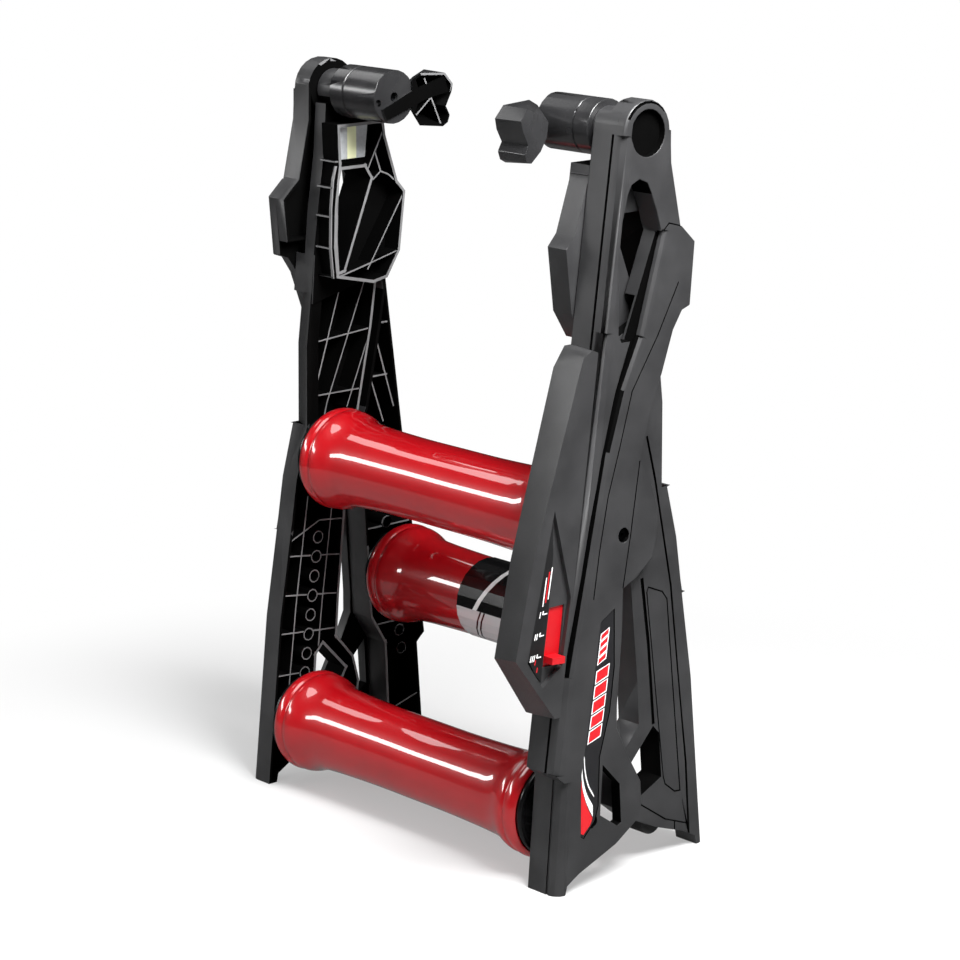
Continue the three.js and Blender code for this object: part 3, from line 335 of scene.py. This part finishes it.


# A merged copy of a solid: painted shade inside, a painted highlight on its rib tops, and with its free edges
# rounded over.
def finishedCopy(node, look, body, openWay=0):
    copy = nodes[node].data.copy()
    copy.name = node + "Finished"
    work = bmesh.new()
    work.from_mesh(copy)
    steps = [((standShift - openWay * aside) * mm, height * mm) for aside, height in look["steps"]]
    bmesh.ops.remove_doubles(work, verts=work.verts, dist=finishing["merge"] * mm)
    work.normal_update()
    solid = BVHTree.FromBMesh(work)
    joined = work.copy()
    flatAngle = np.radians(finishing["flat"])
    bmesh.ops.dissolve_limit(joined, angle_limit=flatAngle, verts=joined.verts, edges=joined.edges)
    flats = BVHTree.FromBMesh(joined)
    widths = [2 * flat.calc_area() / flat.calc_perimeter() for flat in joined.faces]
    places = [flats.find_nearest(face.calc_center_median())[2] for face in work.faces]
    shares = np.array([hiddenShare(solid, face, look["shadeReach"]) for face in work.faces])
    areas = np.array([face.calc_area() for face in work.faces])
    flatAreas = np.maximum(np.bincount(places, areas, len(widths)), 1e-12)
    whole = np.bincount(places, areas * shares, len(widths)) / flatAreas
    for face, place, area in zip(work.faces, places, areas):
        face.smooth = True
        hidden = whole[place]  # one share for the whole flat, so that it gets one finish
        centre = face.calc_center_median()
        width = max(widths[place], 4 * area / face.calc_perimeter())
        outward = face.normal.x * openWay > finishing["openFace"]
        nearX, farX, lowZ, highZ = [edge * mm for edge in look["ladder"]]
        inLadder = nearX < abs(centre.x) < farX and lowZ < centre.z < highZ and face.normal.y * centre.x > 0
        # Painted shade on faces mostly hidden, facing the open side or in the ladder; a painted highlight on
        # the narrow rib tops among them.
        ribTop = (outward or inLadder) and hidden < look["topShare"] and width < look["ribWidth"] * mm
        face.material_index = 2 if ribTop else int(hidden > look["shadeShare"] or outward or inLadder)
        if any(np.hypot(centre.y - y, centre.z - z) < finishing["stepReach"] * mm for y, z in steps):
            face.material_index = 0  # the small step of the outline shows from outside
    joined.free()
    bmesh.ops.dissolve_limit(work, angle_limit=flatAngle, verts=work.verts, edges=work.edges,
                             delimit={"MATERIAL"})
    tight = {corner.vert for face in work.faces for corner in face.loops
             if corner.calc_angle() < np.radians(finishing["tightCorner"]) or len(corner.vert.link_edges) > 3}
    weight = work.edges.layers.float.new("bevel_weight_edge")
    room = finishing["room"] * look["rounding"] * mm
    for edge in work.edges:
        bend = edge.calc_face_angle_signed(0)
        near = [other for vert in edge.verts for other in vert.link_edges]
        roomy = min(other.calc_length() for other in near) > room
        free = roomy and not any(vert in tight for vert in edge.verts)
        edge[weight] = float(bend > np.radians(finishing["roundedBend"]) and free)
        edge.smooth = bool(abs(bend) < np.radians(finishing["smoothBend"]) or edge[weight])
    copy.materials.clear()  # first, because it sets every face back to the first material
    for material in (look["skin"], shadeNylon, ribHighlightNylon):
        copy.materials.append(material)
    work.to_mesh(copy)
    work.free()
    piece = bpy.data.objects.new(copy.name, copy)
    bpy.context.scene.collection.objects.link(piece)
    bevel = piece.modifiers.new("roundedEdges", "BEVEL")
    bevel.width = look["rounding"] * mm
    bevel.segments = 2
    bevel.limit_method = "WEIGHT"
    bevel.use_clamp_overlap = False
    weighted = piece.modifiers.new("flatFaces", "WEIGHTED_NORMAL")
    weighted.keep_sharp = True
    weighted.weight = 90
    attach(piece, body)
    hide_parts(node)
    return piece


print("tools ready")

# The three drums: axle places in (y, z), with the hinge at y = 0.
drums = {
    "upper": {"node": "upper_drum", "body": "upper_drum", "axle": (-25.536, 356.198)},
    "lower": {"node": "lower_drum", "body": "lower_drum", "axle": (-64.96, 69.489)},
    "front": {"node": "front_drum", "body": "front_drum", "axle": (66.976, 211.011)},
}
# Half of a drum from its middle, along the axle and out from it: the waist, a groove and the collar,
# the folded rim and the bore. The end cap is a closed outline whose rim has a raised, rounded bead.
drumForm = {
    "waist": [(0, 43), (55, 43.1), (95, 44), (125, 45.2), (142, 46.6), (151, 48.6), (158, 51.2), (165, 53.4),
              (169, 54.0), (171.5, 53.9)],
    "collar": [(171.5, 53.9), (173.4, 52.8), (175.8, 54.0), (180, 54.9), (184, 54.5), (187, 53.1),
               (188.8, 51.6)],
    "rim": [(190, 50.6), (190, 49.8), (189, 49.2)],
    "bore": [(180, 51.8), (165, 51.2), (140, 44.2), (0, 41)],
    "waistPoints": 52,
    "collarPoints": 26,
    "cap": [(183, 10.0), (184, 10.0), (184, 14.3), (195.6, 14.3), (196, 14.7),
            (196, 38), (195.2, 39.5), (194.6, 42), (194.9, 44), (195.7, 45.2), (196, 46.4), (195.9, 47.6),
            (195.2, 48.8), (193.6, 49.4), (190.1, 49.5), (190.1, 48.6), (183.4, 48.6), (183.4, 45.6),
            (193, 45.4), (193, 19), (183, 19)],
}
waist = smoothLine(drumForm["waist"], drumForm["waistPoints"])
collar = smoothLine(drumForm["collar"], drumForm["collarPoints"])[1:]
halfWall = np.concatenate([waist, collar, drumForm["rim"], drumForm["bore"]])
profile = np.concatenate([halfWall, (halfWall * [-1, 1])[::-1][1:-1]])
for name, drum in drums.items():
    centre = (drum["axle"][0] + standShift, drum["axle"][1])
    shell = turnedPiece(name + "DrumShell", profile, centre, redPaint, drum["body"])
    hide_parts(drum["node"])
    for side, way in (("left", -1), ("right", 1)):
        capName = f"{name}DrumCap{side.capitalize()}"
        cap = turnedPiece(capName, np.array(drumForm["cap"]) * [way, 1], centre, capPlastic, drum["body"])
        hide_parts(f"{name}_drum_cap_{side}")
print("drums turned")


# Solids that stay get one finish each.
def paint(material, *names):
    for node in names:
        nodes[node].data.materials.clear()
        nodes[node].data.materials.append(material)


film = {
    "silver": "#c9cbcd",
    "black": "#0b0b0c",
    "white": "#f2f2f2",
    "split": 211.0,       # height of the axle
    "lean": 0.55,         # how far the bands lean along the drum for each millimetre up
    "bands": [(-22, 3.0, "#f2f2f2"), (-12, 1.2, "#0b0b0c"), (-6, 1.2, "#0b0b0c")],
}
label = {"side": "#c4c7c9", "sideDark": "#9a9d9f", "strip": "#eef0c4", "middle": 22.0, "half": 6.0}
sides = ("left", "right")
# Painted shade: the hub caps sit deep in their recesses, so they get the black shade nylon.
paint(shadeNylon, "hub_cap_left", "hub_cap_right")
paint(blackSteel, "hinge_pin_left", "hinge_pin_right", *[f"{d}_axle_bolt" for d in drums])
paint(zincSteel, *[f"{d}_drum_{k}_{s}" for d in drums for k in ("bearing", "spacer") for s in sides],
      *[f"{d}_axle" for d in drums], "detent_spring",
      "brake_magnet_lower", "brake_magnet_middle", "brake_magnet_upper")
paint(turnedAluminium, "brake_disc")
paint(panelPlastic, "brake_mark_panel", "magnet_holder")
paint(leverPlastic, "brake_lever")
paint(inkBase, "stripe_inlay_left", "stripe_inlay_right")
paint(stripedLabel("printedLabel", label), "label_inlay_left", "label_inlay_right")
paint(printedFilm("printedDrumFilm", film), "front_drum_band")
paint(rubber, "rubber_foot_left", "rubber_foot_right")

# How each copy is finished, in millimetres. A face of which more than shadeShare is hidden takes the painted
# shade, as all in the open side do, and a narrow one there of which less than topShare is hidden is the top
# of a rib, with a painted highlight. The ladder is the ribbed strip along the inside of an arm, by X and by
# height, which takes the painted shade and highlight too.
plain = {"skin": frameNylon, "rounding": 1.2, "shadeReach": 60, "shadeShare": 0.3, "topShare": 0.12,
         "ribWidth": 3.2, "ladder": (0, 0, 0, 0), "steps": ()}
ribbed = dict(plain, rounding=0.4, ladder=(179, 204, 555, 722), steps=((52.976, 391.204), (77.28, 276.76)))
soft = dict(plain, rounding=1.4, shadeShare=0.6)
polished = dict(plain, skin=barrelNylon, shadeShare=0.7)
finishedCopy("rear_frame_right", plain, "rear_section", -1)
finishedCopy("front_frame_left", plain, "front_section", 1)
finishedCopy("rear_frame_left", ribbed, "rear_section", 1)
finishedCopy("front_frame_right", ribbed, "front_section", -1)
finishedCopy("brake_cover", soft, "rear_section")
for side in sides:
    body = "rear_section" if side == "left" else "front_section"
    finishedCopy("hinge_barrel_" + side, polished, body)
    finishedCopy("centre_foot_" + side, dict(plain, skin=barrelNylon), body, 1 if side == "left" else -1)
print("frames finished")


# Plain printed decoration of the stripes: red blocks with a white edge, and a swept tail below them.
stripe = {
    "face": 247.3,
    "ink": 0.06,          # thickness of one layer, raised from the real film's 0.01 mm so that it shows
    "front": [(-81.2, 115.9), (-71.1, 172.0), (-56.0, 273.8)],
    "largeBlocks": (5, 152.0, 15.0, 11.0, 16.0),   # how many, lowest, step, height and width
    "smallBlocks": (4, 231.0, 8.0, 5.0, 10.0),
    "slope": 5.0,
    "whiteEdge": 1.2,
    "setBack": 4.0,
}
frontY, frontZ = np.array(stripe["front"]).T


# A block of the stripe in (y, z): its foot stands set back from the stripe's front edge, and its top and
# foot rise to the rear by the slope. It can be grown on every side.
def slantedBlock(low, height, width, grow):
    lows = np.array([low - grow, low + height + grow])
    edge = np.interp(lows, frontZ, frontY) + stripe["setBack"] - grow
    right = edge + width + 2 * grow
    raised = lows + stripe["slope"]
    return [(edge[0], lows[0]), (right[0], raised[0]), (right[1], raised[1]), (edge[1], lows[1])]


# The swept tail's three prints, each from the front of the stripe to the rear and back, and their layers.
tail = {
    "White": (0, [smoothLine([(-78.5, 142), (-77.5, 118), (-72, 100), (-63.5, 86)], 16),
                  smoothLine([(-63.5, 74), (-72, 90), (-78, 108), (-79.8, 122)], 16)]),
    "Red": (1, [smoothLine([(-79.9, 116), (-77.5, 104), (-71, 86), (-63.8, 72.5)], 16),
                [(-67, 66), (-76, 58), (-79.6, 60)]]),
    "Line": (0, [smoothLine([(-75.8, 140), (-73.5, 122), (-69, 108), (-62, 96)], 16),
                 smoothLine([(-62, 94), (-69.8, 106), (-74.8, 121), (-76.6, 139)], 16)]),
}
for side in sides:
    body, turned = ("front_section", True) if side == "left" else ("rear_section", False)
    base, layer = stripe["face"], stripe["ink"]
    for kind in ("largeBlocks", "smallBlocks"):
        count, lowest, step, height, width = stripe[kind]
        for i in range(count):
            name = f"stripe{kind[:5].capitalize()}{i}{side.capitalize()}"
            low = lowest + i * step
            edged = slantedBlock(low, height, width, stripe["whiteEdge"])
            block = slantedBlock(low, height, width, 0)
            printedPatch(name + "White", edged, base, base + layer, whiteInk, body, turned)
            printedPatch(name + "Red", block, base + layer, base + 2 * layer, redInk, body, turned)
    for part, (level, runs) in tail.items():
        ink = redInk if part == "Red" else whiteInk
        printedPatch("stripeTail" + side.capitalize() + part, np.concatenate(runs),
                     base + level * layer, base + (level + 1) * layer, ink, body, turned)

# Plain marks of the three brake levels: one, two and three strokes with a tick each, and bars above
# and below.
marks = {
    "face": 242.9,
    "ink": 0.06,
    "levels": [(1, -124.0, 295.0), (2, -128.0, 274.0), (3, -131.5, 253.0)],
    "tick": [(-6, -0.6), (0, -0.6), (0, 0.6), (-5, 0.6), (-4.2, 3.4), (-5.6, 3.4), (-6.4, 0)],
    "stroke": (1.2, 6.0, 1.6),     # width, height and lean
    "strokeStart": 10.5,
    "strokeStep": 2.4,
    "bars": [(-130.5, 303, 1.3, 28, "white"), (-127.0, 306, 1.5, 30, "red"), (-123.5, 309, 1.3, 31, "white"),
             (-140.5, 246, 1.2, 5, "red"), (-138.0, 238, 1.2, 5, "red")],
    "barLean": 0.18,
}
for strokes, right, level in marks["levels"]:
    width, height, lean = marks["stroke"]
    low, high = marks["face"], marks["face"] + marks["ink"]
    tick = [(right + across, level + up) for across, up in marks["tick"]]
    printedPatch(f"levelTick{strokes}", tick, low, high, whiteInk, "rear_section")
    for i in range(strokes):
        left = right - marks["strokeStart"] - marks["strokeStep"] * i
        outline = [(left, level - height / 2), (left + width, level - height / 2),
                   (left + width + lean, level + height / 2), (left + lean, level + height / 2)]
        printedPatch(f"levelStroke{strokes}{i}", outline, low, high, whiteInk, "rear_section")
for i, (left, foot, width, length, ink) in enumerate(marks["bars"]):
    lean = marks["barLean"] * length
    outline = [(left, foot), (left + width, foot),
               (left + width + lean, foot + length), (left + lean, foot + length)]
    printedPatch(f"panelBar{i}", outline, low, high, whiteInk if ink == "white" else redInk, "rear_section")
print("prints laid on")


# Plain studio: a white floor that fades into the white background, and four soft boxes.
studio = {
    "floorSize": 30.0,
    "floorColour": "#d6d6d6",
    "fadeFrom": 0.45,      # metres from the middle of the part where the floor starts to turn plain white
    "fadeTo": 0.9,
    "floorHaze": 0.4,      # how much plain white the floor shows near the part
    "world": 0.1,          # light from all round on matt surfaces
    "horizon": 0.02,       # what a shine sees low down, higher up and on the floor
    "ceiling": 0.01,
    "floorShine": 0.2,
    "shineReach": 1.5,     # metres out to which a shine sees the lit floor, and over which it then fades
    "shineFade": 0.2,
    "skyRise": (0.03, 0.16),   # from the horizon's shine to the ceiling's, by the sine of the height
    "aim": (0.0, 0.0, 0.36),
    "key": {"way": (-0.714, -0.623, 0.318), "reach": 3.2, "size": (2.5, 0.42), "power": 29},
    "top": {"way": (0.1, -0.2, 1.0), "reach": 3.0, "size": (2.5, 2.0), "power": 52},
    "right": {"way": (0.62, -0.1, 0.78), "reach": 1.6, "size": (0.7, 0.7), "power": 64},
    "haze": {"way": (-0.715, 0.0, 0.699), "reach": 3.2, "size": (1.5, 0.4), "power": 5.0},
}
reach = studio["floorSize"]
floorMesh = bpy.data.meshes.new("floor")
corners = [(-reach, -reach, 0), (reach, -reach, 0), (reach, reach, 0), (-reach, reach, 0)]
floorMesh.from_pydata(corners, [], [(0, 1, 2, 3)])
floor = bpy.data.objects.new("floor", floorMesh)
bpy.context.scene.collection.objects.link(floor)
floorPaint, tree, shader = newMaterial("whiteFloor", studio["floorColour"], 0.8, Specular_IOR_Level=0.1)
seen = addNode(tree, "ShaderNodeLightPath")
place = addNode(tree, "ShaderNodeTexCoord")
away = addNode(tree, "ShaderNodeVectorMath", links={0: place.outputs["Object"]}, operation="LENGTH")
fade = addNode(tree, "ShaderNodeMapRange", {1: studio["fadeFrom"], 2: studio["fadeTo"]},
               {0: away.outputs["Value"]}, interpolation_type="SMOOTHSTEP")
haze = spread(tree, fade.outputs[0], 0, 1, studio["floorHaze"], 1)
looks = worked(tree, "MAXIMUM", worked(tree, "MULTIPLY", seen.outputs["Is Camera Ray"], haze),
               seen.outputs["Is Glossy Ray"])
lit = spread(tree, away.outputs["Value"], studio["shineReach"], studio["shineReach"] + studio["shineFade"],
             studio["floorShine"], studio["horizon"])
matt = spread(tree, seen.outputs["Is Glossy Ray"], 0, 1, 1.0, 0)
bright = worked(tree, "ADD", matt, worked(tree, "MULTIPLY", lit, seen.outputs["Is Glossy Ray"]))
white = addNode(tree, "ShaderNodeEmission", {"Color": (1, 1, 1, 1)}, {"Strength": bright})
blend = addNode(tree, "ShaderNodeMixShader", links={0: looks, 1: shader.outputs[0], 2: white.outputs[0]})
tree.links.new(blend.outputs[0], tree.nodes["Material Output"].inputs["Surface"])
floorMesh.materials.append(floorPaint)

world = bpy.data.worlds.new("studio")
bpy.context.scene.world = world
world.use_nodes = True
tree = world.node_tree
background = tree.nodes["Background"]
background.inputs["Color"].default_value = (1, 1, 1, 1)
seen = addNode(tree, "ShaderNodeLightPath")
direction = addNode(tree, "ShaderNodeTexCoord")
axes = addNode(tree, "ShaderNodeSeparateXYZ", links={"Vector": direction.outputs["Generated"]})
shine = spread(tree, axes.outputs["Z"], *studio["skyRise"], studio["horizon"], studio["ceiling"])
plainSky = spread(tree, seen.outputs["Is Glossy Ray"], 0, 1, studio["world"], 0)
glossSky = worked(tree, "MULTIPLY", shine, seen.outputs["Is Glossy Ray"])
around = worked(tree, "ADD", plainSky, glossSky)
direct = worked(tree, "MAXIMUM", seen.outputs["Is Camera Ray"], seen.outputs["Is Transmission Ray"])
tree.links.new(worked(tree, "MAXIMUM", around, direct), background.inputs["Strength"])

aim = np.array(studio["aim"])
for name in ("key", "top", "right", "haze"):
    lamp = studio[name]
    light = bpy.data.lights.new(name, "AREA")
    light.shape = "RECTANGLE"
    light.size, light.size_y = lamp["size"]
    light.energy = lamp["power"]
    holder = bpy.data.objects.new(name + "Lamp", light)
    way = np.array(lamp["way"]) / np.linalg.norm(lamp["way"])
    rightWay = np.cross((0, 0, 1), way)
    rightWay = rightWay / np.linalg.norm(rightWay)
    turn = np.eye(4)
    turn[:3, 0], turn[:3, 1], turn[:3, 2] = rightWay, np.cross(way, rightWay), way
    turn[:3, 3] = aim + way * lamp["reach"]
    holder.matrix_world = Matrix(turn.tolist())
    bpy.context.scene.collection.objects.link(holder)

bpy.context.scene.view_settings.view_transform = "Standard"

# The camera stands where a fit of the photograph puts it.
view = {
    "place": (2.32514, -2.09967, 1.15104),
    "right": (0.675696, 0.737177, 0.002201),
    "up": (-0.180781, 0.162808, 0.969954),
    "sight": (-0.714670, 0.655793, -0.243276),
    "lens": 117.1875,
}
lens = bpy.data.cameras.new("photoCamera")
lens.sensor_width = 36
lens.lens = view["lens"]
lens.clip_end = 100
cameraObject = bpy.data.objects.new("photoCamera", lens)
turn = np.eye(4)
turn[:3, 0], turn[:3, 1], turn[:3, 2] = view["right"], view["up"], -np.array(view["sight"])
turn[:3, 3] = view["place"]
cameraObject.matrix_world = Matrix(turn.tolist())
bpy.context.scene.collection.objects.link(cameraObject)
bpy.context.scene.camera = cameraObject
print("studio lit")
